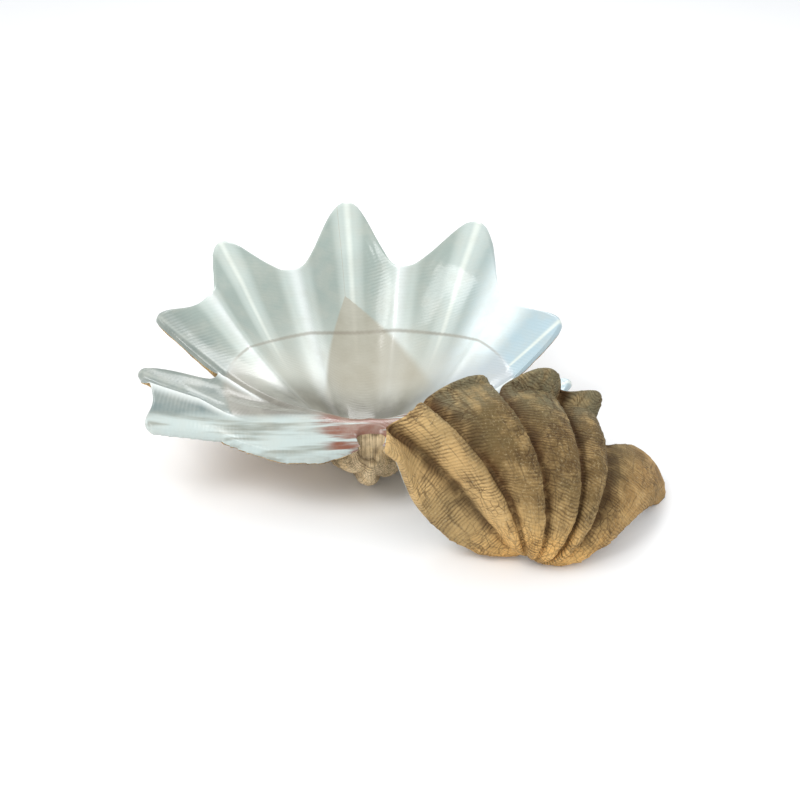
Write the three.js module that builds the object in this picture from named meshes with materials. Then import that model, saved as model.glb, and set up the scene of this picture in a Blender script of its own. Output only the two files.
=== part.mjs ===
// Giant clam shell: the two loose valves of one clam. The lower valve lies on its belly, hollow
// side up; the upper valve leans beside it and shows its ribbed outside. Millimetres, +Z up,
// origin on the ground under the middle of the pair.
//
// Each valve grows the way a real one does. Growth lines are copies of the rim, scaled by `size`
// from 0 at the beak to 1 at the rim ellipse and turned about the hinge line. `turn` is the angle
// round the rim in degrees, 0 at the middle of the fluted edge. In a valve's own frame the hinge
// line is X, the fluted edge is towards +Y and the belly is towards -Z.
import * as THREE from 'three';

const DEG = Math.PI / 180;
const { clamp, lerp, smoothstep } = THREE.MathUtils;

// ---- driving dimensions --------------------------------------------------------------------
const LOWER = {
  halfLength: 300, // rim ellipse, half its length along the hinge
  halfHeight: 269, // rim ellipse, half its height
  centreY: 204, // rim ellipse, centre ahead of the hinge line
  coil: 1.36, // how strongly the growth lines turn about the hinge
  sideEase: 0.4, // share of the coil missing at the two sides
  beakStart: 0.2, // softens the coil at the beak
  flare: 0.53, // share of the coil that the teeth give up as they stand outwards
  ribDepth: 20, // groove floor to rib crest
  // teeth of the rim: [turn, reach past the rim ellipse]
  teeth: [[-132, 0.5], [-107, 0.26], [-81, 0.16], [-45, 0.17], [-4, 0.18], [36, 0.18], [82, 0.09],
    [111, 0.14], [135, 0.4]],
  // notches between the teeth, given the same way
  notches: [[-115, 0.28], [-87, -0.17], [-60, 0.03], [-25, -0.02], [14, -0.03], [58, -0.02],
    [94, -0.2], [123, 0.12]],
  lipOut: [25, 25], // swell of the hinge edge away from the shell, first and last end
  lipDown: [8, 8], // swell of the hinge edge towards the belly
  plateWidth: 46, // hinge plate, from the hinge line to the lip of the hollow
  plateRun: 80, // length of the slope from the plate into the hollow
  edgeThickness: 8,
  beakThickness: 70,
  toothPoint: 3, // how pointed the teeth are
  mirrored: false,
  tilt: [12, 0, 2], // degrees about X, Y and Z
  place: [5, -147, 119],
};
const UPPER = {
  halfLength: 268,
  halfHeight: 150,
  centreY: 91,
  coil: 1.38,
  sideEase: 0,
  beakStart: 0.1,
  flare: 1.38,
  ribDepth: 23,
  teeth: [[-100, 0.09], [-67, 0], [-33, 0.07], [-7, 0.17], [11, 0.15], [46, 0.03]],
  notches: [[-83, 0.04], [-59, 0], [-25, -0.02], [3, 0.07], [22, -0.11], [80, -0.15]],
  lipOut: [19, -50],
  lipDown: [-72, 0],
  plateWidth: 30,
  plateRun: 60,
  edgeThickness: 8,
  beakThickness: 50,
  toothPoint: 1.7,
  mirrored: true,
  tilt: [-134.5, -31, -168.5],
  place: [249, -265, 10],
};
const LIP_SPREAD = 45; // degrees round the rim over which a lip's swell dies out
const PLATE_RISE = 4; // hinge plate above the hinge line
const PLATE_FALL = 0.03; // slope of the hinge plate down into the shell
const INNER_RIBS = [0.25, 0.75]; // sizes between which the ribs show through on the inside
const RIB_GROWTH_LIMIT = 1.3; // ribs stop growing past this size
const THINNING = 1.5; // how fast the wall thins from beak to rim
const TEETH_FROM = 0.4; // share of full growth where the teeth reach their full length
const FIRST_LINE = 0.07; // share of full growth where the closed beak begins
const GROWTH_LINES = 13;
const COLUMNS_PER_FLANK = 4; // mesh columns from a tooth to the notch beside it
const FOOT = 4; // least thickness where a valve stands on the ground
const PROBE = 0.001; // step for measuring slopes

// ---- the rim -------------------------------------------------------------------------------
function rimKnots(valve) {
  const knot = (crest) => ([turn, reach]) => ({ turn, reach, crest });
  return [...valve.teeth.map(knot(1)), ...valve.notches.map(knot(0))]
    .sort((one, other) => one.turn - other.turn);
}

// Reach past the rim ellipse and height on the rib (0 groove, 1 crest) between two knots.
function flute(valve, from, to, share) {
  const rise = Math.sin((from.crest ? 1 - share : share) * Math.PI / 2);
  const tooth = from.crest ? from : to;
  const notch = from.crest ? to : from;
  return { reach: lerp(notch.reach, tooth.reach, rise ** valve.toothPoint), crest: rise ** 0.9 };
}

function rimColumns(valve) {
  const knots = rimKnots(valve);
  const columns = [];
  for (let i = 0; i < knots.length - 1; i += 1) {
    for (let step = 0; step < COLUMNS_PER_FLANK; step += 1) {
      const share = step / COLUMNS_PER_FLANK;
      const turn = lerp(knots[i].turn, knots[i + 1].turn, share);
      columns.push({ turn, ...flute(valve, knots[i], knots[i + 1], share) });
    }
  }
  const last = knots.at(-1);
  columns.push({ turn: last.turn, ...flute(valve, last, last, 0) });
  return columns;
}

// ---- growth --------------------------------------------------------------------------------
function coilAngle(valve, size, turn) {
  const grown = Math.min(size, 1);
  const coil = valve.coil * (1 - valve.sideEase * Math.sin(turn * DEG) ** 2);
  const perSize = valve.coil / (1 + valve.beakStart);
  const coiled = coil * Math.log((1 + valve.beakStart) / (grown + valve.beakStart));
  return coiled - (size - grown) * perSize * (1 - valve.flare);
}

function lipSwell(valve, size, turn) {
  const knots = rimKnots(valve);
  const ends = [knots[0].turn, knots.at(-1).turn];
  const weights = ends.map((end) => clamp(1 - Math.abs(turn - end) / LIP_SPREAD, 0, 1) ** 2);
  const middle = size < 1 ? Math.sin(Math.PI * size) : 0;
  const out = weights[0] * valve.lipOut[0] + weights[1] * valve.lipOut[1];
  const down = weights[0] * valve.lipDown[0] + weights[1] * valve.lipDown[1];
  return new THREE.Vector3(0, -out * middle, -down * middle);
}

// A point of the rib-free shell, with the growth line turned by `angle` about the hinge.
function growthPoint(valve, size, turn, angle) {
  const across = valve.halfLength * Math.sin(turn * DEG);
  const ahead = valve.centreY + valve.halfHeight * Math.cos(turn * DEG);
  const flat = new THREE.Vector3(size * across, size * ahead, 0);
  flat.applyAxisAngle(new THREE.Vector3(1, 0, 0), -angle);
  return flat.add(lipSwell(valve, size, turn));
}

function coiledPoint(valve, size, turn) {
  return growthPoint(valve, size, turn, coilAngle(valve, size, turn));
}

function outwards(valve, size, turn) {
  const along = coiledPoint(valve, size, turn + PROBE / DEG)
    .sub(coiledPoint(valve, size, turn - PROBE / DEG));
  const up = coiledPoint(valve, size + PROBE, turn).sub(coiledPoint(valve, size - PROBE, turn));
  return up.cross(along).normalize();
}

function sizeAt(share, column) {
  return share * (1 + column.reach * smoothstep(share, 0, TEETH_FROM));
}

function outerPoint(valve, share, column) {
  const size = sizeAt(share, column);
  const relief = valve.ribDepth * Math.min(size, RIB_GROWTH_LIMIT) * (column.crest - 0.5);
  return coiledPoint(valve, size, column.turn)
    .addScaledVector(outwards(valve, size, column.turn), relief);
}

function innerPoint(valve, share, column) {
  const size = sizeAt(share, column);
  const ribs = valve.ribDepth * Math.min(size, RIB_GROWTH_LIMIT) * (column.crest - 0.5);
  const relief = ribs * smoothstep(size, ...INNER_RIBS);
  const thickness = lerp(valve.edgeThickness, valve.beakThickness, (1 - share) ** THINNING);
  const bowl = coiledPoint(valve, size, column.turn)
    .addScaledVector(outwards(valve, size, column.turn), relief - thickness);
  const flaring = Math.min(coilAngle(valve, size, column.turn), 0);
  const plate = growthPoint(valve, size, column.turn, flaring);
  plate.z += PLATE_RISE - PLATE_FALL * plate.y;
  plate.z = Math.max(plate.z, outerPoint(valve, share, column).z + valve.edgeThickness);
  const depth = smoothstep(plate.y, valve.plateWidth, valve.plateWidth + valve.plateRun);
  return plate.lerp(bowl, depth);
}

// ---- closed mesh of a valve ----------------------------------------------------------------
function valveGeometry(valve, placement) {
  const columns = rimColumns(valve);
  const side = valve.mirrored ? -1 : 1;
  const toOwn = placement.clone().invert();
  const points = [];
  for (const surface of [outerPoint, innerPoint]) {
    for (let line = 0; line <= GROWTH_LINES; line += 1) {
      const share = lerp(FIRST_LINE, 1, line / GROWTH_LINES);
      for (const column of columns) {
        const point = surface(valve, share, column);
        point.x *= side;
        point.applyMatrix4(placement);
        point.z = Math.max(point.z, surface === innerPoint ? FOOT : 0);
        points.push(point.applyMatrix4(toOwn));
      }
    }
  }
  const width = columns.length;
  const layer = width * (GROWTH_LINES + 1);
  const index = [];
  const addQuad = (a, b, c, d) => {
    index.push(...(valve.mirrored ? [a, b, c, a, c, d] : [a, c, b, a, d, c]));
  };
  for (let line = 0; line < GROWTH_LINES; line += 1) {
    for (let column = 0; column < width - 1; column += 1) {
      const outer = line * width + column;
      const inner = outer + layer;
      addQuad(outer, outer + 1, outer + 1 + width, outer + width);
      addQuad(inner, inner + width, inner + 1 + width, inner + 1);
    }
    const first = line * width;
    const last = first + width - 1;
    addQuad(first, first + width, first + width + layer, first + layer);
    addQuad(last, last + layer, last + width + layer, last + width);
  }
  const rim = GROWTH_LINES * width;
  for (let column = 0; column < width - 1; column += 1) {
    addQuad(column, column + layer, column + 1 + layer, column + 1);
    addQuad(rim + column, rim + column + 1, rim + column + 1 + layer, rim + column + layer);
  }
  const geometry = new THREE.BufferGeometry().setFromPoints(points);
  geometry.setIndex(index);
  geometry.computeVertexNormals();
  return geometry;
}

function makeValve(name, valve, material) {
  const mesh = new THREE.Mesh(undefined, material);
  mesh.name = name;
  mesh.position.set(...valve.place);
  mesh.rotation.set(...valve.tilt.map((angle) => angle * DEG));
  mesh.updateMatrix();
  mesh.geometry = valveGeometry(valve, mesh.matrix);
  return mesh;
}

// ---- assembly ------------------------------------------------------------------------------
const pearl = new THREE.MeshStandardMaterial({ color: 0xc9d6ce, roughness: 0.25, metalness: 0 });
const crust = new THREE.MeshStandardMaterial({ color: 0xa98a5c, roughness: 0.8, metalness: 0 });

const shell = new THREE.Group();
shell.add(makeValve('lower_valve', LOWER, pearl), makeValve('upper_valve', UPPER, crust));

const middle = new THREE.Box3().setFromObject(shell, true).getCenter(new THREE.Vector3());
shell.position.set(-middle.x, -middle.y, 0);

export default shell;
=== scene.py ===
"""Giant clam shell: the detailed meshes and finishes of its two loose valves."""

import logging
import math
from dataclasses import dataclass
from enum import Enum

import bpy
import numpy as np
from mathutils import Matrix, Vector


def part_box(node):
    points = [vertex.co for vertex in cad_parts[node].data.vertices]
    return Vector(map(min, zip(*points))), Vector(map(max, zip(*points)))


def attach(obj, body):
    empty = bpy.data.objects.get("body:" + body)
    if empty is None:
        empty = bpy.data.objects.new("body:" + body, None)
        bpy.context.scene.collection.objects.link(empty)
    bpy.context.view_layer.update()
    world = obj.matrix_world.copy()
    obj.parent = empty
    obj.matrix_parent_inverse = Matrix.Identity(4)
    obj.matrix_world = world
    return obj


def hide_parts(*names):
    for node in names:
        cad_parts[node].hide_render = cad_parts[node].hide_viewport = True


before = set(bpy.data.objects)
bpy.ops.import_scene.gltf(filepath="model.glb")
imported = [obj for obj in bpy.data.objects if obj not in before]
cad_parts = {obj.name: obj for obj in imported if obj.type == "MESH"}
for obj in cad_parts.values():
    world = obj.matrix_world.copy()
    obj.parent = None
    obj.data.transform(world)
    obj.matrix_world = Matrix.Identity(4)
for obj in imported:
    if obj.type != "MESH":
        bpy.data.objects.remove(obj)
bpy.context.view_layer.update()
LOG = logging.getLogger("clam")

MM = 0.001
PALLIAL_SIZE = 0.79  # growth size of the pallial line, where the pearly bowl steps down
MARKS = ("size", "turn", "crest", "inside", "bowl", "grown")  # what every mesh point carries


class Side(Enum):
    """The two surfaces of a valve, with the value its points carry in the `inside` attribute."""

    OUTER = 0.0
    INNER = 1.0


# ---- how a valve grows -----------------------------------------------------------------------
@dataclass(frozen=True)
class Growth:
    """Driving dimensions of one valve, in millimetres and degrees.

    Growth lines are copies of the rim, scaled by `size` from 0 at the beak to 1 at the rim ellipse
    and turned about the hinge line. `turn` is the angle round the rim, 0 at the middle of the
    fluted edge. In the valve's own frame the hinge line is X and the belly is towards -Z.
    """

    half_length: float
    half_height: float
    centre_y: float
    coil: float
    side_ease: float
    beak_start: float
    flare: float
    rib_depth: float
    teeth: tuple[tuple[float, float], ...]
    notches: tuple[tuple[float, float], ...]
    lip_out: tuple[float, float]
    lip_down: tuple[float, float]
    plate_width: float
    plate_run: float
    edge_thickness: float
    beak_thickness: float
    mirrored: bool
    tilt: tuple[float, float, float]
    lip_spread: float = 45.0
    plate_rise: float = 4.0
    plate_fall: float = 0.03
    inner_ribs: tuple[float, float] = (0.25, 0.75)
    rib_growth_limit: float = 1.3
    thinning: float = 1.5
    tooth_point: float = 3.0
    teeth_from: float = 0.4
    first_line: float = 0.07

    def knots(self) -> list[tuple[float, float, float]]:
        """Return (turn, reach, crest) of every tooth and notch, in order round the rim."""
        teeth = [(turn, reach, 1.0) for turn, reach in self.teeth]
        notches = [(turn, reach, 0.0) for turn, reach in self.notches]
        return sorted(teeth + notches)

    def columns(self, per_flank: int) -> tuple[np.ndarray, np.ndarray, np.ndarray]:
        """Spread mesh columns round the rim, as many on each flank of a tooth.

        Args:
            per_flank: columns from a tooth to the notch beside it.

        Returns:
            The turn, the reach past the rim ellipse and the crest height (0 to 1) of each column.
        """
        knots = self.knots()
        turns, reaches, crests = [], [], []
        for start, end in zip(knots, knots[1:]):
            tooth, notch = (start, end) if start[2] else (end, start)
            for step in range(per_flank + (end is knots[-1])):
                share = step / per_flank
                rise = math.sin((1 - share if start[2] else share) * math.pi / 2)
                turns.append(start[0] + (end[0] - start[0]) * share)
                reaches.append(notch[1] + (tooth[1] - notch[1]) * rise**self.tooth_point)
                crests.append(rise**0.9)
        return np.array(turns), np.array(reaches), np.array(crests)

    def coil_angle(self, size: np.ndarray, turn: np.ndarray) -> np.ndarray:
        """Return how far each growth line is turned about the hinge, in radians."""
        grown = np.minimum(size, 1.0)
        coil = self.coil * (1 - self.side_ease * np.sin(np.radians(turn)) ** 2)
        per_size = self.coil / (1 + self.beak_start)
        coiled = coil * np.log((1 + self.beak_start) / (grown + self.beak_start))
        return coiled - (size - grown) * per_size * (1 - self.flare)

    def point(self, size: np.ndarray, turn: np.ndarray, angle: np.ndarray) -> np.ndarray:
        """Return points of the rib-free shell, with growth lines turned by `angle`."""
        across = size * self.half_length * np.sin(np.radians(turn))
        ahead = size * (self.centre_y + self.half_height * np.cos(np.radians(turn)))
        knots = self.knots()
        ends = (knots[0][0], knots[-1][0])
        weights = [np.clip(1 - np.abs(turn - end) / self.lip_spread, 0, 1) ** 2 for end in ends]
        middle = np.where(size < 1, np.sin(np.pi * np.minimum(size, 1)), 0)
        out = (weights[0] * self.lip_out[0] + weights[1] * self.lip_out[1]) * middle
        down = (weights[0] * self.lip_down[0] + weights[1] * self.lip_down[1]) * middle
        rows = (across, ahead * np.cos(angle) - out, -ahead * np.sin(angle) - down)
        return np.stack(rows, axis=-1)

    def coiled(self, size: np.ndarray, turn: np.ndarray) -> np.ndarray:
        """Return points of the rib-free shell as grown."""
        return self.point(size, turn, self.coil_angle(size, turn))

    def outwards(self, size: np.ndarray, turn: np.ndarray) -> np.ndarray:
        """Return unit normals of the rib-free shell."""
        probe = 0.001
        lag = math.degrees(probe)
        along = self.coiled(size, turn + lag) - self.coiled(size, turn - lag)
        up = self.coiled(size + probe, turn) - self.coiled(size - probe, turn)
        normal = np.cross(up, along)
        return normal / np.linalg.norm(normal, axis=-1, keepdims=True)

    def size_at(self, share: np.ndarray, reach: np.ndarray) -> np.ndarray:
        """Return the size at a share of full growth, with teeth that lengthen as it grows."""
        return share * (1 + reach * smooth_step(share, 0, self.teeth_from))

    def surface(
        self, side: Side, share: np.ndarray, turn: np.ndarray, reach: np.ndarray, crest: np.ndarray
    ) -> np.ndarray:
        """Return points of the outer or the inner surface.

        Args:
            side: which surface.
            share: share of full growth, 0 at the beak and 1 at the rim.
            turn: angle round the rim.
            reach: reach of the column past the rim ellipse.
            crest: height of the column on its rib.

        Returns:
            Points in the valve's own frame.
        """
        size = self.size_at(share, reach)
        normal = self.outwards(size, turn)
        ribs = self.rib_depth * np.minimum(size, self.rib_growth_limit) * (crest - 0.5)
        outer = self.coiled(size, turn) + normal * ribs[..., None]
        if side is Side.OUTER:
            return outer
        ribs = ribs * smooth_step(size, *self.inner_ribs)
        spare = self.beak_thickness - self.edge_thickness
        wall = self.edge_thickness + spare * (1 - share) ** self.thinning
        bowl = self.coiled(size, turn) + normal * (ribs - wall)[..., None]
        plate = self.point(size, turn, np.minimum(self.coil_angle(size, turn), 0))
        plate[..., 2] += self.plate_rise - self.plate_fall * plate[..., 1]
        plate[..., 2] = np.maximum(plate[..., 2], outer[..., 2] + self.edge_thickness)
        depth = self.bowl_depth(plate[..., 1])
        return plate + (bowl - plate) * depth[..., None]

    def bowl_depth(self, ahead: np.ndarray) -> np.ndarray:
        """Return 0 on the hinge plate and 1 in the bowl."""
        return smooth_step(ahead, self.plate_width, self.plate_width + self.plate_run)


LOWER = Growth(
    half_length=300, half_height=269, centre_y=204, coil=1.36, side_ease=0.4, beak_start=0.2,
    flare=0.53, rib_depth=20,
    teeth=((-132, 0.5), (-107, 0.26), (-81, 0.16), (-45, 0.17), (-4, 0.18), (36, 0.18), (82, 0.09),
           (111, 0.14), (135, 0.4)),
    notches=((-115, 0.28), (-87, -0.17), (-60, 0.03), (-25, -0.02), (14, -0.03), (58, -0.02),
             (94, -0.2), (123, 0.12)),
    lip_out=(25, 25), lip_down=(8, 8), plate_width=46, plate_run=80, edge_thickness=8,
    beak_thickness=70, mirrored=False, tilt=(12, 0, 2),
)
UPPER = Growth(
    half_length=268, half_height=150, centre_y=91, coil=1.38, side_ease=0, beak_start=0.1,
    flare=1.38, rib_depth=23,
    teeth=((-100, 0.09), (-67, 0), (-33, 0.07), (-7, 0.17), (11, 0.15), (46, 0.03)),
    notches=((-83, 0.04), (-59, 0), (-25, -0.02), (3, 0.07), (22, -0.11), (80, -0.15)),
    lip_out=(19, -50), lip_down=(-72, 0), plate_width=30, plate_run=60, edge_thickness=8,
    beak_thickness=50, mirrored=True, tilt=(-134.5, -31, -168.5), tooth_point=1.7,
)


# ---- small maths -----------------------------------------------------------------------------
def smooth_step(value: np.ndarray, low: float, high: float) -> np.ndarray:
    """Return 0 below `low`, 1 above `high` and a soft rise between."""
    share = np.clip((value - low) / (high - low), 0, 1)
    return share * share * (3 - 2 * share)


def lattice(cell: np.ndarray, seed: int) -> np.ndarray:
    """Return a repeatable value from 0 to 1 for each whole-number cell."""
    mixed = np.sin(cell @ np.array([127.1, 311.7, 74.7]) + seed * 53.3) * 43758.5453
    return mixed - np.floor(mixed)


def cloud(points: np.ndarray, spacing: float, seed: int) -> np.ndarray:
    """Return soft noise from -1 to 1.

    Args:
        points: an array of 3-D points.
        spacing: distance between the blobs, in the points' unit.
        seed: picks another pattern.

    Returns:
        One value for each point.
    """
    scaled = points / spacing
    cell = np.floor(scaled)
    part = scaled - cell
    blend = part * part * (3 - 2 * part)
    total = np.zeros(points.shape[:-1])
    for corner in np.ndindex(2, 2, 2):
        weight = np.prod(np.where(corner, blend, 1 - blend), axis=-1)
        total += weight * lattice(cell + np.array(corner), seed)
    return total * 2 - 1


# ---- surface relief --------------------------------------------------------------------------
@dataclass(frozen=True)
class CrustRelief:
    """Raised detail of a valve's outside, in millimetres."""

    lamella_gap: float = 15.0
    lamella_height: float = 2.4
    lump_height: float = 0.9
    gnarl_height: float = 1.8
    rib_lift: float = 3.0
    groove_cut: float = 5.0

    def height(
        self, grown: np.ndarray, turn: np.ndarray, crest: np.ndarray, at: np.ndarray
    ) -> np.ndarray:
        """Return how far each outer point stands out.

        Args:
            grown: distance grown from the beak.
            turn: angle round the rim.
            crest: height on the rib.
            at: the points themselves.

        Returns:
            Heights in millimetres.
        """
        wander = 7.0 * cloud(at, 60, 3) + 2.2 * cloud(at, 20, 5)
        steps = (grown + wander) / self.lamella_gap
        lip = np.floor(steps)
        ragged = 0.5 + 0.5 * cloud(np.stack([lip * 7.3, turn, lip * 3.1], -1), 4.5, 9)
        lamella = (steps - lip) ** 2 * ragged * (0.3 + 0.7 * crest)
        lumps = cloud(at, 34, 21) + 0.5 * cloud(at, 13, 23)
        gnarls = cloud(at, 15, 41) * (1 - smooth_step(grown, 70, 300))
        ribs = self.rib_lift * crest**2 - self.groove_cut * (1 - crest) ** 3
        scales = self.lamella_height * (lamella - 0.25)
        return ribs + scales + self.lump_height * lumps + self.gnarl_height * gnarls


@dataclass(frozen=True)
class PearlRelief:
    """Raised detail of a valve's inside, in millimetres and growth sizes."""

    pallial_size: float = PALLIAL_SIZE
    step_height: float = 1.5
    step_width: float = 0.010
    swell: float = 0.6
    keel_height: float = 1.3
    keel_width: float = 0.06

    def height(self, size: np.ndarray, crest: np.ndarray, at: np.ndarray) -> np.ndarray:
        """Return how far each inner point stands out of the smooth bowl.

        Args:
            size: growth size of the point.
            crest: 1 in the floor of a tooth's channel, 0 on the ridge between two.
            at: the points themselves.

        Returns:
            Heights in millimetres, into the hollow.
        """
        low, high = self.pallial_size - self.step_width, self.pallial_size + self.step_width
        step = smooth_step(size, low, high)
        keel = np.clip((crest - 1 + self.keel_width) / self.keel_width, 0, 1)
        keel = keel * smooth_step(size, self.pallial_size - 0.02, self.pallial_size + 0.1)
        swell = self.swell * cloud(at, 70, 33)
        return self.step_height * (0.5 - step) + swell + self.keel_height * keel


# ---- shader nodes ----------------------------------------------------------------------------
Socket = bpy.types.NodeSocket
Feed = Socket | float
Rgb = tuple[int, int, int]


def linear(red: int, green: int, blue: int) -> tuple[float, float, float, float]:
    """Turn display values from 0 to 255 into a linear colour with alpha 1."""
    shares = (red / 255, green / 255, blue / 255)
    parts = [c / 12.92 if c <= 0.04045 else ((c + 0.055) / 1.055) ** 2.4 for c in shares]
    return (*parts, 1.0)


class Wiring:
    """Adds nodes to one node tree and joins them up."""

    def __init__(self, tree: bpy.types.NodeTree) -> None:
        """Keep the tree that the nodes go into."""
        self.tree = tree

    def node(self, kind: str, **settings: object) -> bpy.types.Node:
        """Add a node of a kind and set its plain properties."""
        made = self.tree.nodes.new(kind)
        for name, value in settings.items():
            setattr(made, name, value)
        return made

    def feed(self, socket: Socket, value: Feed | tuple) -> None:
        """Join a socket to an input, or set the input's value."""
        if isinstance(value, bpy.types.NodeSocket):
            self.tree.links.new(value, socket)
        else:
            socket.default_value = value

    def math(self, operation: str, *values: Feed) -> Socket:
        """Add a Math node on up to three values."""
        made = self.node("ShaderNodeMath", operation=operation)
        for socket, value in zip(made.inputs, values):
            self.feed(socket, value)
        return made.outputs[0]

    def times(self, one: Feed, other: Feed) -> Socket:
        """Multiply two values."""
        return self.math("MULTIPLY", one, other)

    def rest(self, share: Feed) -> Socket:
        """Return what a share leaves of 1."""
        return self.math("SUBTRACT", 1.0, share)

    def attribute(self, name: str) -> Socket:
        """Read one of the piece's own float attributes."""
        return self.node("ShaderNodeAttribute", attribute_name=name).outputs["Fac"]

    def ramp(self, value: Feed, low: float, high: float) -> Socket:
        """Return 0 below `low`, 1 above `high` and a soft rise between."""
        made = self.node("ShaderNodeMapRange", interpolation_type="SMOOTHSTEP")
        for name, number in (("Value", value), ("From Min", low), ("From Max", high)):
            self.feed(made.inputs[name], number)
        return made.outputs["Result"]

    def band(self, value: Feed, low: float, rise: float, fall: float, high: float) -> Socket:
        """Return 1 between `rise` and `fall`, 0 outside `low` and `high`."""
        return self.times(self.ramp(value, low, rise), self.rest(self.ramp(value, fall, high)))

    def blend(self, share: Feed, under: Socket | Rgb, over: Socket | Rgb) -> Socket:
        """Mix two colours, each a socket or display values."""
        made = self.node("ShaderNodeMix", data_type="RGBA")
        self.feed(made.inputs[0], share)
        for index, colour in ((6, under), (7, over)):
            self.feed(made.inputs[index], linear(*colour) if isinstance(colour, tuple) else colour)
        return made.outputs[2]

    def choose(self, share: Feed, under: Feed, over: Feed) -> Socket:
        """Mix two values."""
        made = self.node("ShaderNodeMix", data_type="FLOAT")
        for index, value in ((0, share), (2, under), (3, over)):
            self.feed(made.inputs[index], value)
        return made.outputs[0]

    def vector(self, x: Feed, y: Feed, z: Feed = 0.0) -> Socket:
        """Join three values into a vector."""
        made = self.node("ShaderNodeCombineXYZ")
        for socket, value in zip(made.inputs, (x, y, z)):
            self.feed(socket, value)
        return made.outputs[0]

    def place(self) -> Socket:
        """Return the object coordinates, in metres."""
        return self.node("ShaderNodeTexCoord").outputs["Object"]

    def noise(self, at: Socket, scale: Feed, detail: float = 3.0, rough: float = 0.5) -> Socket:
        """Return soft noise from 0 to 1."""
        made = self.node("ShaderNodeTexNoise")
        given = {"Vector": at, "Scale": scale, "Detail": detail, "Roughness": rough}
        for name, value in given.items():
            self.feed(made.inputs[name], value)
        return made.outputs["Fac"]

    def cracks(self, at: Socket, scale: float) -> Socket:
        """Return the distance to the edge of scattered cells."""
        made = self.node("ShaderNodeTexVoronoi", feature="DISTANCE_TO_EDGE")
        self.feed(made.inputs["Vector"], at)
        self.feed(made.inputs["Scale"], scale)
        return made.outputs["Distance"]

    def bump(self, height: Socket, strength: float, depth: float) -> Socket:
        """Return normals bumped by a height, at most `depth` metres."""
        made = self.node("ShaderNodeBump")
        made.inputs["Strength"].default_value = strength
        made.inputs["Distance"].default_value = depth
        self.feed(made.inputs["Height"], height)
        return made.outputs["Normal"]


def make_group(name: str, inputs: dict[str, float], outputs: tuple[str, ...]) -> bpy.types.NodeTree:
    """Start a shader node group with named float sockets.

    Args:
        name: name of the group.
        inputs: name and first value of each input.
        outputs: name of each output.

    Returns:
        The group, with its input and output nodes in place.
    """
    tree = bpy.data.node_groups.new(name, "ShaderNodeTree")
    for label, value in inputs.items():
        socket = tree.interface.new_socket(label, in_out="INPUT", socket_type="NodeSocketFloat")
        socket.default_value = value
    for label in outputs:
        tree.interface.new_socket(label, in_out="OUTPUT", socket_type="NodeSocketFloat")
    tree.nodes.new("NodeGroupInput")
    tree.nodes.new("NodeGroupOutput")
    return tree


def growth_lines_group() -> bpy.types.NodeTree:
    """Build the group that draws fine growth lines across the ribs.

    Returns:
        A group with the inputs Gap, Wander and Sharpness and the output Line.
    """
    tree = make_group("GrowthLines", {"Gap": 4.5, "Wander": 3.0, "Sharpness": 3.0}, ("Line",))
    wires = Wiring(tree)
    given = tree.nodes["Group Input"].outputs
    shift = wires.math("SUBTRACT", wires.noise(wires.place(), 22.0, 4.0), 0.5)
    sway = wires.times(given["Wander"], 4.0)
    at = wires.math("MULTIPLY_ADD", shift, sway, wires.attribute("grown"))
    turns = wires.times(wires.math("DIVIDE", at, given["Gap"]), math.tau)
    wave = wires.math("MULTIPLY_ADD", wires.math("SINE", turns), 0.5, 0.5)
    line = wires.math("POWER", wave, given["Sharpness"])
    wires.feed(tree.nodes["Group Output"].inputs["Line"], line)
    return tree


def mottle_group() -> bpy.types.NodeTree:
    """Build the group that makes soft stains.

    Returns:
        A group with the inputs Scale, Low and High and the output Mask.
    """
    tree = make_group("Mottle", {"Scale": 20.0, "Low": 0.4, "High": 0.6}, ("Mask",))
    wires = Wiring(tree)
    given = tree.nodes["Group Input"].outputs
    cloudy = wires.noise(wires.place(), given["Scale"], 5.0, 0.6)
    mask = wires.ramp(cloudy, given["Low"], given["High"])
    wires.feed(tree.nodes["Group Output"].inputs["Mask"], mask)
    return tree


@dataclass(frozen=True)
class Toolbox:
    """The node groups that both finishes use."""

    growth_lines: bpy.types.NodeTree
    mottle: bpy.types.NodeTree

    def lines(self, wires: Wiring, gap: float, wander: float, sharpness: float) -> Socket:
        """Place the growth line group with its own values."""
        made = wires.node("ShaderNodeGroup", node_tree=self.growth_lines)
        for name, value in (("Gap", gap), ("Wander", wander), ("Sharpness", sharpness)):
            made.inputs[name].default_value = value
        return made.outputs["Line"]

    def stain(self, wires: Wiring, scale: float, low: float, high: float) -> Socket:
        """Place the stain group with its own values."""
        made = wires.node("ShaderNodeGroup", node_tree=self.mottle)
        for name, value in (("Scale", scale), ("Low", low), ("High", high)):
            made.inputs[name].default_value = value
        return made.outputs["Mask"]


def start_material(name: str) -> tuple[bpy.types.Material, Wiring, bpy.types.Node]:
    """Make an empty node material and return it with its wiring and its shader."""
    material = bpy.data.materials.new(name)
    material.use_nodes = True
    return material, Wiring(material.node_tree), material.node_tree.nodes["Principled BSDF"]


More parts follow.
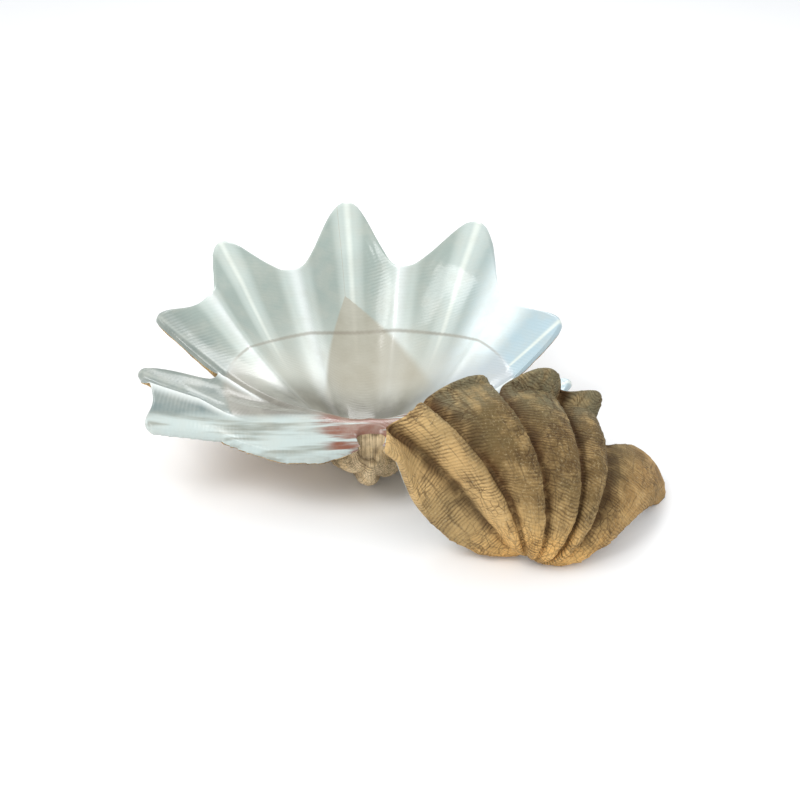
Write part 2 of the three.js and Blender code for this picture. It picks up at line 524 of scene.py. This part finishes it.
@dataclass(frozen=True)
class PearlFinish:
    """Polished inside of a valve. Shares of growth and degrees round the rim place its colours."""

    name: str
    flank: Rgb = (190, 201, 194)
    # painted shade: the darker colour of the tooth channels' sides
    channel: Rgb = (154, 167, 159)
    # painted highlight along the fold of each tooth
    crease_highlight: Rgb = (222, 229, 220)
    right_end: Rgb = (170, 192, 200)
    left_end: Rgb = (112, 122, 116)
    left_tip: Rgb = (118, 132, 130)
    # painted highlight on the bowl's ridges; the next colour is the darker channel tone, partly
    # painted shade
    bowl_ridge_highlight: Rgb = (232, 236, 229)
    bowl_channel: Rgb = (194, 196, 185)
    # painted shade for the deep floor of the bowl
    bowl_floor_shade: Rgb = (104, 100, 88)
    bowl_right: Rgb = (176, 184, 188)
    # painted shade: darker warm grey-beige in the left trough of the bowl
    bowl_left_shade: Rgb = (116, 112, 101)
    # painted highlight on the ridges between the channels
    ridge_highlight: Rgb = (230, 236, 233)
    # painted highlight on the teeth between about 42 and 72 degrees round the rim
    right_band_highlight: Rgb = (232, 243, 243)
    diamond: Rgb = (166, 158, 138)
    pallial_line: Rgb = (128, 118, 102)
    plate_pale: Rgb = (184, 196, 192)
    plate_dark: Rgb = (136, 141, 131)
    rust: Rgb = (122, 54, 8)
    veil: Rgb = (190, 188, 174)
    left_turn: tuple[float, float] = (-62, -84)
    diamond_tip: tuple[float, float] = (-7, 0.89)
    diamond_spread: tuple[float, float] = (75, 190)
    streak_scale: tuple[float, float, float] = (7.0, 75.0, 60.0)
    roughness: float = 0.3
    coat: float = 0.5
    coat_roughness: float = 0.14
    specular: float = 0.5
    line_gap: float = 6.5
    bump_depth: float = 0.0006

    def material(self, tools: Toolbox) -> bpy.types.Material:
        """Build the material."""
        material, wires, shader = start_material(self.name)
        soft = wires.noise(wires.place(), 9.0, 3.0)
        shift = wires.times(wires.math("SUBTRACT", soft, 0.5), 0.05)
        grown = wires.math("ADD", wires.attribute("size"), shift)
        colour = self.add_lines(wires, self.bowl_and_rim(wires, grown))
        colour = self.add_plate(wires, colour)
        veil = wires.times(tools.stain(wires, 30.0, 0.35, 0.75), 0.3)
        wires.feed(shader.inputs["Base Color"], wires.blend(veil, colour, self.veil))

        wear_and_groove_shade = tools.stain(wires, 60.0, 0.3, 0.7)
        rough = wires.math("MULTIPLY_ADD", wear_and_groove_shade, 0.12, self.roughness)
        wires.feed(shader.inputs["Roughness"], rough)
        lines = tools.lines(wires, self.line_gap, 2.0, 1.0)
        wires.feed(shader.inputs["Normal"], wires.bump(lines, 0.25, self.bump_depth))
        shader.inputs["Specular IOR Level"].default_value = self.specular
        shader.inputs["Coat Weight"].default_value = self.coat
        shader.inputs["Coat Roughness"].default_value = self.coat_roughness
        return material

    def rim_colour(self, wires: Wiring) -> Socket:
        """Colour the teeth, outside the pallial line, with painted shade in the channels and a
        painted highlight along each tooth's fold.
        """
        turn, crest = wires.attribute("turn"), wires.attribute("crest")
        left = wires.ramp(turn, *self.left_turn)
        # painted shade: the sides of the channels are coloured darker than the flanks
        channel = wires.band(crest, 0.35, 0.6, 0.9, 0.998)
        colour = wires.blend(channel, self.flank, self.channel)
        colour = wires.blend(wires.ramp(turn, 25, 80), colour, self.right_end)
        colour = wires.blend(wires.times(left, 0.9), colour, self.left_end)
        colour = wires.blend(wires.ramp(turn, -104, -118), colour, self.left_tip)
        # painted highlight along the fold of each tooth, weaker towards the left end
        bright = wires.math("MULTIPLY_ADD", left, -0.7, 0.85)
        crease_highlight = wires.times(wires.ramp(crest, 0.99, 0.9995), bright)
        return wires.blend(crease_highlight, colour, self.crease_highlight)

    def bowl_colour(self, wires: Wiring, grown: Socket) -> Socket:
        """Colour the bowl, inside the pallial line, with painted shade that makes it darkest on its
        floor and on the left, and painted highlights on its ridges.
        """
        turn = wires.attribute("turn")
        # ridges painted bright as highlights, channels darker as painted shade
        sunk = wires.ramp(wires.attribute("crest"), 0.3, 0.85)
        colour = wires.blend(sunk, self.bowl_ridge_highlight, self.bowl_channel)
        # painted shade: the bowl is coloured darker towards its floor
        floor = wires.rest(wires.ramp(grown, 0.52, 0.68))
        colour = wires.blend(wires.times(floor, 0.95), colour, self.bowl_floor_shade)
        colour = wires.blend(wires.ramp(turn, 20, 75), colour, self.bowl_right)
        # painted shade in the left trough of the bowl
        left = wires.ramp(turn, *self.left_turn)
        return wires.blend(wires.times(left, 0.85), colour, self.bowl_left_shade)

    def bowl_and_rim(self, wires: Wiring, grown: Socket) -> Socket:
        """Join the two colours, softly in front and sharply at the sides, and add painted highlights
        on the ridges and on the right-hand teeth.
        """
        turn, crest = wires.attribute("turn"), wires.attribute("crest")
        soft_edge = wires.ramp(grown, PALLIAL_SIZE - 0.16, PALLIAL_SIZE + 0.12)
        hard_edge = wires.ramp(grown, PALLIAL_SIZE - 0.02, PALLIAL_SIZE + 0.02)
        zone = wires.choose(self.at_side(wires), soft_edge, hard_edge)
        colour = wires.blend(zone, self.bowl_colour(wires, grown), self.rim_colour(wires))
        # painted highlight on the ridges between the channels, strongest towards the pallial line
        ridge = wires.rest(wires.ramp(crest, 0.03, 0.36))
        lit = wires.times(ridge, wires.times(wires.ramp(grown, 0.56, 0.72), 0.8))
        colour = wires.blend(lit, colour, self.ridge_highlight)
        # painted highlight: a bright band across the right-hand teeth
        tall = wires.ramp(wires.attribute("size"), 0.62, 0.85)
        return wires.blend(wires.times(wires.band(turn, 42, 53, 62, 72), tall), colour, self.right_band_highlight)

    def at_side(self, wires: Wiring) -> Socket:
        """Return 1 towards the two ends of the hinge."""
        turn = wires.attribute("turn")
        return wires.math("MAXIMUM", wires.ramp(turn, *self.left_turn), wires.ramp(turn, 62, 84))

    def add_lines(self, wires: Wiring, colour: Socket) -> Socket:
        """Add the tan diamond in the middle and the thin pallial line."""
        size, turn = wires.attribute("size"), wires.attribute("turn")
        middle, tip = self.diamond_tip
        west_spread, east_spread = self.diamond_spread
        below = wires.math("MAXIMUM", wires.math("SUBTRACT", tip, size), 0.0005)
        ahead = wires.math("SUBTRACT", middle, turn)
        west = wires.math("DIVIDE", ahead, wires.times(below, west_spread))
        behind = wires.math("SUBTRACT", turn, middle)
        east = wires.math("DIVIDE", behind, wires.times(below, east_spread))
        diamond = wires.rest(wires.ramp(wires.math("MAXIMUM", west, east), 0.8, 1.0))
        diamond = wires.times(diamond, wires.ramp(size, 0.52, 0.66))
        colour = wires.blend(wires.times(diamond, 0.75), colour, self.diamond)
        off = wires.math("ABSOLUTE", wires.math("SUBTRACT", size, PALLIAL_SIZE))
        line = wires.times(wires.rest(wires.ramp(off, 0.001, 0.009)), wires.rest(self.at_side(wires)))
        return wires.blend(wires.times(line, 0.6), colour, self.pallial_line)

    def add_plate(self, wires: Wiring, colour: Socket) -> Socket:
        """Add the streaked hinge plate and the rust near the beak."""
        stretched = wires.node("ShaderNodeVectorMath", operation="MULTIPLY")
        wires.feed(stretched.inputs[0], wires.place())
        stretched.inputs[1].default_value = self.streak_scale
        streak = wires.noise(stretched.outputs[0], 1.0, 4.0)
        plate = wires.blend(wires.ramp(streak, 0.42, 0.66), self.plate_pale, self.plate_dark)
        on_plate = wires.rest(wires.ramp(wires.attribute("bowl"), 0.02, 0.3))
        colour = wires.blend(on_plate, colour, plate)
        near = wires.rest(wires.ramp(wires.attribute("size"), 0.2, 0.34))
        rust = wires.times(near, wires.ramp(streak, 0.42, 0.54))
        return wires.blend(wires.times(rust, 0.95), colour, self.rust)


@dataclass(frozen=True)
class CrustFinish:
    """Dry ribbed outside of a valve."""

    name: str
    beak: Rgb = (240, 188, 112)
    rib_low: Rgb = (182, 150, 98)
    rib_middle: Rgb = (112, 89, 52)
    rib_top: Rgb = (122, 114, 88)
    # the crust's brown in the grooves, darkened further as painted shade
    groove_brown_and_shade: Rgb = (82, 52, 22)
    right_lobe: Rgb = (178, 140, 86)
    left_lobe: Rgb = (208, 172, 116)
    pale_stain: Rgb = (222, 186, 126)
    dark_stain: Rgb = (86, 64, 36)
    olive_stain: Rgb = (96, 88, 58)
    thread: Rgb = (84, 66, 40)
    growth_line: Rgb = (70, 50, 28)
    crack: Rgb = (66, 42, 20)
    dust: Rgb = (208, 188, 146)
    roughness: float = 0.66
    specular: float = 0.25
    line_gap: float = 5.4
    bump_depth: float = 0.0012

    def material(self, tools: Toolbox) -> bpy.types.Material:
        """Build the material."""
        material, wires, shader = start_material(self.name)
        cloudy = wires.noise(wires.place(), 14.0, 5.0, 0.6)
        shift = wires.math("SUBTRACT", cloudy, 0.5)
        aged = wires.math("MULTIPLY_ADD", shift, 0.5, wires.attribute("size"))
        arcs = tools.lines(wires, self.line_gap, 5.5, 2.0)
        crack = self.cracks(wires, tools, shift, aged)
        grain = wires.noise(wires.place(), 300.0, 3.0, 0.7)

        colour = self.add_stains(wires, tools, self.ribs(wires, shift, aged))
        seen = wires.math("MULTIPLY_ADD", tools.stain(wires, 25.0, 0.42, 0.6), 0.5, 0.1)
        colour = wires.blend(wires.times(arcs, seen), colour, self.growth_line)
        colour = wires.blend(wires.times(crack, 0.45), colour, self.crack)
        proud = wires.ramp(wires.attribute("crest"), 0.2, 0.9)
        dusty = wires.times(wires.ramp(grain, 0.5, 0.8), proud)
        colour = wires.blend(wires.times(dusty, 0.5), colour, self.dust)
        wires.feed(shader.inputs["Base Color"], colour)

        rough = wires.math("MULTIPLY_ADD", cloudy, 0.25, self.roughness)
        wires.feed(shader.inputs["Roughness"], rough)
        shader.inputs["Specular IOR Level"].default_value = self.specular
        height = wires.math("MULTIPLY_ADD", arcs, -0.8, wires.times(grain, 0.9))
        height = wires.math("MULTIPLY_ADD", crack, -1.0, height)
        wires.feed(shader.inputs["Normal"], wires.bump(height, 0.7, self.bump_depth))
        return material

    def ribs(self, wires: Wiring, shift: Socket, aged: Socket) -> Socket:
        """Colour the ribs from beak to rim, the two end lobes and the grooves between ribs, whose
        dark brown is partly painted shade.
        """
        size, turn = wires.attribute("size"), wires.attribute("turn")
        colour = wires.blend(wires.ramp(aged, 0.3, 0.6), self.rib_low, self.rib_middle)
        colour = wires.blend(wires.ramp(aged, 0.75, 1.0), colour, self.rib_top)
        right = wires.ramp(turn, 24, 44)
        left = wires.ramp(turn, -52, -72)
        colour = wires.blend(wires.times(right, 0.85), colour, self.right_lobe)
        colour = wires.blend(wires.times(left, 0.85), colour, self.left_lobe)
        colour = wires.blend(wires.ramp(aged, 0.42, 0.12), colour, self.beak)
        # grooves coloured dark: partly the crust's own brown, partly painted shade that grows towards
        # the rim and is weaker on the right lobe
        low = wires.math("MULTIPLY_ADD", shift, -0.5, wires.attribute("crest"))
        hollow = wires.rest(wires.ramp(low, 0.05, 0.55))
        less_right = wires.math("MULTIPLY_ADD", right, -0.65, 0.9)
        wear_and_groove_shade = wires.times(wires.ramp(size, 0.08, 0.45), less_right)
        return wires.blend(wires.times(hollow, wear_and_groove_shade), colour, self.groove_brown_and_shade)

    def add_stains(self, wires: Wiring, tools: Toolbox, colour: Socket) -> Socket:
        """Add pale, dark and olive stains, and dark threads that run from beak to rim."""
        for scale, low, high, strength, stain in (
            (38.0, 0.44, 0.7, 0.42, self.pale_stain),
            (26.0, 0.48, 0.68, 0.55, self.dark_stain),
            (9.0, 0.48, 0.66, 0.35, self.olive_stain),
        ):
            mask = wires.times(tools.stain(wires, scale, low, high), strength)
            colour = wires.blend(mask, colour, stain)
        turn, grown = wires.attribute("turn"), wires.attribute("grown")
        along = wires.vector(wires.times(turn, 0.45), wires.times(grown, 0.012))
        thread = wires.ramp(wires.noise(along, 1.6, 3.0), 0.52, 0.7)
        return wires.blend(wires.times(thread, 0.5), colour, self.thread)

    def cracks(self, wires: Wiring, tools: Toolbox, shift: Socket, aged: Socket) -> Socket:
        """Return a mask of thin cracks, in patches and all over near the beak."""
        turn, grown = wires.attribute("turn"), wires.attribute("grown")
        cells = wires.vector(wires.times(turn, 0.2), wires.times(grown, 0.07), shift)
        crack = wires.rest(wires.ramp(wires.cracks(cells, 1.0), 0.01, 0.07))
        patches = tools.stain(wires, 15.0, 0.5, 0.6)
        return wires.times(crack, wires.math("MAXIMUM", patches, wires.ramp(aged, 0.5, 0.25)))


# ---- building a valve ------------------------------------------------------------------------
@dataclass
class Valve:
    """One half of the shell: its growth, its mesh resolution and its finishes."""

    name: str
    node: str
    slot: str
    growth: Growth
    per_flank: int
    lines: int
    crust: CrustFinish
    pearl: PearlFinish
    rim: Side
    foot: float = 4.0
    beak_front: float = 6.0
    crust_relief: CrustRelief = CrustRelief()
    pearl_relief: PearlRelief = PearlRelief()

    def slab(self, width: int) -> bpy.types.Object:
        """Add a flat grid and extrude it into a closed slab, with the new side selected.

        Args:
            width: points across the grid.

        Returns:
            The slab.
        """
        bpy.ops.mesh.primitive_grid_add(
            x_subdivisions=width - 1, y_subdivisions=self.lines - 1, size=2
        )
        piece = bpy.context.active_object
        piece.name = piece.data.name = self.name
        bpy.ops.object.mode_set(mode="EDIT")
        bpy.ops.mesh.select_all(action="SELECT")
        bpy.ops.mesh.extrude_region_move(TRANSFORM_OT_translate={"value": (0, 0, -0.1)})
        bpy.ops.object.mode_set(mode="OBJECT")
        return piece

    def shape(self, piece: bpy.types.Object) -> None:
        """Move the slab's points onto the outer and the inner surface and note how they grew."""
        turns, reaches, crests = self.growth.columns(self.per_flank)
        mesh = piece.data
        at = read_points(mesh)
        column = np.rint((at[:, 0] + 1) / 2 * (len(turns) - 1)).astype(int)
        line = (at[:, 1] + 1) / 2
        inner = at[:, 2] < -0.05
        first = self.growth.first_line
        share = first + (1 - first) * line
        turn, reach, crest = turns[column], reaches[column], crests[column]
        outer_at = self.growth.surface(Side.OUTER, share, turn, reach, crest)
        inner_at = self.growth.surface(Side.INNER, share, turn, reach, crest)
        write_points(mesh, np.where(inner[:, None], inner_at, outer_at) * MM)
        size = self.growth.size_at(share, reach)
        plate = self.growth.point(size, turn, np.zeros_like(size))[..., 1]
        row = np.rint(line * (self.lines - 1)).astype(int)
        path = np.zeros((self.lines, len(turns), 3))
        path[row[~inner], column[~inner]] = outer_at[~inner]
        steps = np.linalg.norm(np.diff(path, axis=0), axis=-1)
        grown = np.vstack([np.zeros(len(turns)), np.cumsum(steps, axis=0)])
        depth = self.growth.bowl_depth(plate)
        found = (size, turn, crest, inner.astype(float), depth, grown[row, column])
        for label, values in zip(MARKS, found):
            write_values(mesh, label, values)

    def refine(self, piece: bpy.types.Object) -> None:
        """Turn the faces outwards, round the shape by subdivision and carve the relief."""
        if self.growth.mirrored:
            write_points(piece.data, read_points(piece.data) * np.array([-1, 1, 1]))
        bpy.ops.object.mode_set(mode="EDIT")
        bpy.ops.mesh.select_all(action="SELECT")
        bpy.ops.mesh.normals_make_consistent(inside=False)
        bpy.ops.object.mode_set(mode="OBJECT")
        modifier = piece.modifiers.new("Round", "SUBSURF")
        modifier.levels = modifier.render_levels = 1
        bpy.ops.object.modifier_apply(modifier=modifier.name)
        mesh = piece.data
        size, turn, crest, inside, bowl, grown = (read_values(mesh, label) for label in MARKS)
        at = read_points(mesh)
        outside = self.crust_relief.height(grown, turn, crest, at / MM)
        within = self.pearl_relief.height(size, crest, at / MM) * bowl
        fade = smooth_step(grown, 5, 60)
        relief = (outside * (1 - inside) + within * inside) * fade
        write_points(mesh, at + read_normals(mesh) * (relief * MM)[:, None])

    def place(self, piece: bpy.types.Object) -> None:
        """Tilt the valve, set it in its node's box and flatten what lies on the ground."""
        about_x, about_y, about_z = (
            Matrix.Rotation(math.radians(angle), 4, axis)
            for angle, axis in zip(self.growth.tilt, "XYZ")
        )
        mesh = piece.data
        mesh.transform(about_x @ about_y @ about_z)
        low, high = (np.array(corner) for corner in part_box(self.node))
        at = read_points(mesh)
        centre = (at.min(axis=0) + at.max(axis=0)) / 2
        shift = (low + high) / 2 - centre
        shift[2] = high[2] - at[:, 2].max()
        at = at + shift
        at[:, 2] = np.maximum(at[:, 2], self.foot * MM * read_values(mesh, "inside"))
        write_points(mesh, at)

    def dress(self, piece: bpy.types.Object, tools: Toolbox) -> None:
        """Give the outside its crust and the inside its pearl."""
        piece.data.materials.append(self.crust.material(tools))
        piece.data.materials.append(self.pearl.material(tools))
        inside = read_values(piece.data, "inside")
        grown = read_values(piece.data, "grown")
        limit = 0.8 if self.rim is Side.OUTER else 0.2
        for face in piece.data.polygons:
            corners = list(face.vertices)
            at_beak = grown[corners].max() < self.beak_front
            face.material_index = int(inside[corners].mean() > (0.99 if at_beak else limit))
            face.use_smooth = True

    def build(self, tools: Toolbox) -> bpy.types.Object:
        """Make the valve and give it its place in the frame.

        Args:
            tools: the shared node groups.

        Returns:
            The finished piece.
        """
        bpy.ops.object.select_all(action="DESELECT")
        piece = self.slab(len(self.growth.columns(self.per_flank)[0]))
        self.shape(piece)
        self.refine(piece)
        self.place(piece)
        self.dress(piece, tools)
        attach(piece, "root")
        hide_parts(self.node)
        LOG.info("%s: %d faces", piece.name, len(piece.data.polygons))
        return piece


def read_points(mesh: bpy.types.Mesh) -> np.ndarray:
    """Return the mesh's points as an array of rows."""
    flat = np.empty(len(mesh.vertices) * 3)
    mesh.vertices.foreach_get("co", flat)
    return flat.reshape(-1, 3)


def write_points(mesh: bpy.types.Mesh, points: np.ndarray) -> None:
    """Move the mesh's points."""
    mesh.vertices.foreach_set("co", np.ascontiguousarray(points).ravel())
    mesh.update()


def read_normals(mesh: bpy.types.Mesh) -> np.ndarray:
    """Return the normal at each point."""
    flat = np.empty(len(mesh.vertices) * 3)
    mesh.vertex_normals.foreach_get("vector", flat)
    return flat.reshape(-1, 3)


def write_values(mesh: bpy.types.Mesh, name: str, values: np.ndarray) -> None:
    """Store one number for each point under a name."""
    mesh.attributes.new(name, "FLOAT", "POINT").data.foreach_set("value", values.astype(np.float32))


def read_values(mesh: bpy.types.Mesh, name: str) -> np.ndarray:
    """Return the numbers stored under a name."""
    values = np.empty(len(mesh.vertices), np.float32)
    mesh.attributes[name].data.foreach_get("value", values)
    return values.astype(float)


# ---- studio ----------------------------------------------------------------------------------
@dataclass(frozen=True)
class SoftBox:
    """A square studio light: where it hangs, how wide it is and how bright."""

    name: str
    at: tuple[float, float, float]
    width: float
    power: float
    colour: tuple[float, float, float] = (1.0, 1.0, 1.0)

    def hang(self, target: Vector) -> None:
        """Add the light, facing the target."""
        bpy.ops.object.light_add(type="AREA", location=self.at)
        light = bpy.context.active_object
        light.name = self.name
        light.data.energy, light.data.size, light.data.color = self.power, self.width, self.colour
        light.rotation_euler = (target - Vector(self.at)).to_track_quat("-Z", "Y").to_euler()


@dataclass(frozen=True)
class Studio:
    """Pale floor, soft lights and the camera."""

    target: tuple[float, float, float] = (-0.0547, -0.0419, 0.1502)
    distance: float = 2.0838
    elevation: float = 31.86
    lens: float = 58.5
    shift: tuple[float, float] = (0.0398, -0.0266)
    floor_width: float = 40.0
    sky: float = 0.9
    boxes: tuple[SoftBox, ...] = (
        SoftBox("key_light", (-1.5, -0.9, 2.2), 1.3, 34.0),
        SoftBox("fill_light", (1.8, -1.6, 1.6), 1.6, 8.0, (0.95, 0.98, 1.0)),
        SoftBox("back_light", (0.3, 2.0, 2.0), 1.0, 18.0),
    )

    def build_floor(self) -> None:
        """Lay the floor that the valves stand on."""
        bpy.ops.mesh.primitive_plane_add(size=self.floor_width, location=(0, 0, -0.0005))
        floor = bpy.context.active_object
        floor.name = "floor"
        material, _, shader = start_material("floor_white")
        shader.inputs["Base Color"].default_value = (0.93, 0.93, 0.93, 1)
        shader.inputs["Roughness"].default_value = 0.9
        floor.data.materials.append(material)

    def build_lights(self) -> None:
        """Set the sky and hang the soft boxes."""
        world = bpy.data.worlds.new("sky")
        world.use_nodes = True
        sky = world.node_tree.nodes["Background"]
        sky.inputs["Color"].default_value = (0.96, 0.98, 1.0, 1)
        sky.inputs["Strength"].default_value = self.sky
        bpy.context.scene.world = world
        for box in self.boxes:
            box.hang(Vector(self.target))

    def build_camera(self) -> None:
        """Set up the camera, looking straight along +Y and down."""
        slope = math.radians(self.elevation)
        back = Vector((0, -math.cos(slope), math.sin(slope))) * self.distance
        bpy.ops.object.camera_add(
            location=Vector(self.target) + back, rotation=(math.pi / 2 - slope, 0, 0)
        )
        camera = bpy.context.active_object
        camera.name = "camera"
        camera.data.lens, camera.data.sensor_width = self.lens, 36
        camera.data.shift_x, camera.data.shift_y = self.shift
        bpy.context.scene.camera = camera

    def build(self) -> None:
        """Build the whole studio."""
        self.build_floor()
        self.build_lights()
        self.build_camera()
        bpy.context.scene.view_settings.view_transform = "Standard"


def main() -> None:
    """Build both valves and the studio."""
    logging.basicConfig(level=logging.INFO)
    tools = Toolbox(growth_lines_group(), mottle_group())
    lower_crust = CrustFinish("lower_crust", beak=(226, 202, 162), rib_low=(206, 184, 146))
    valves = (
        Valve("pearly_valve", "lower_valve", "pearl", LOWER, per_flank=9, lines=80,
              crust=lower_crust, pearl=PearlFinish("lower_pearl"), rim=Side.INNER),
        Valve("ribbed_valve", "upper_valve", "crust", UPPER, per_flank=11, lines=86,
              crust=CrustFinish("upper_crust"), pearl=PearlFinish("upper_pearl"), rim=Side.OUTER),
    )
    for valve in valves:
        valve.build(tools)
    Studio().build()


if __name__ == "__main__":
    main()
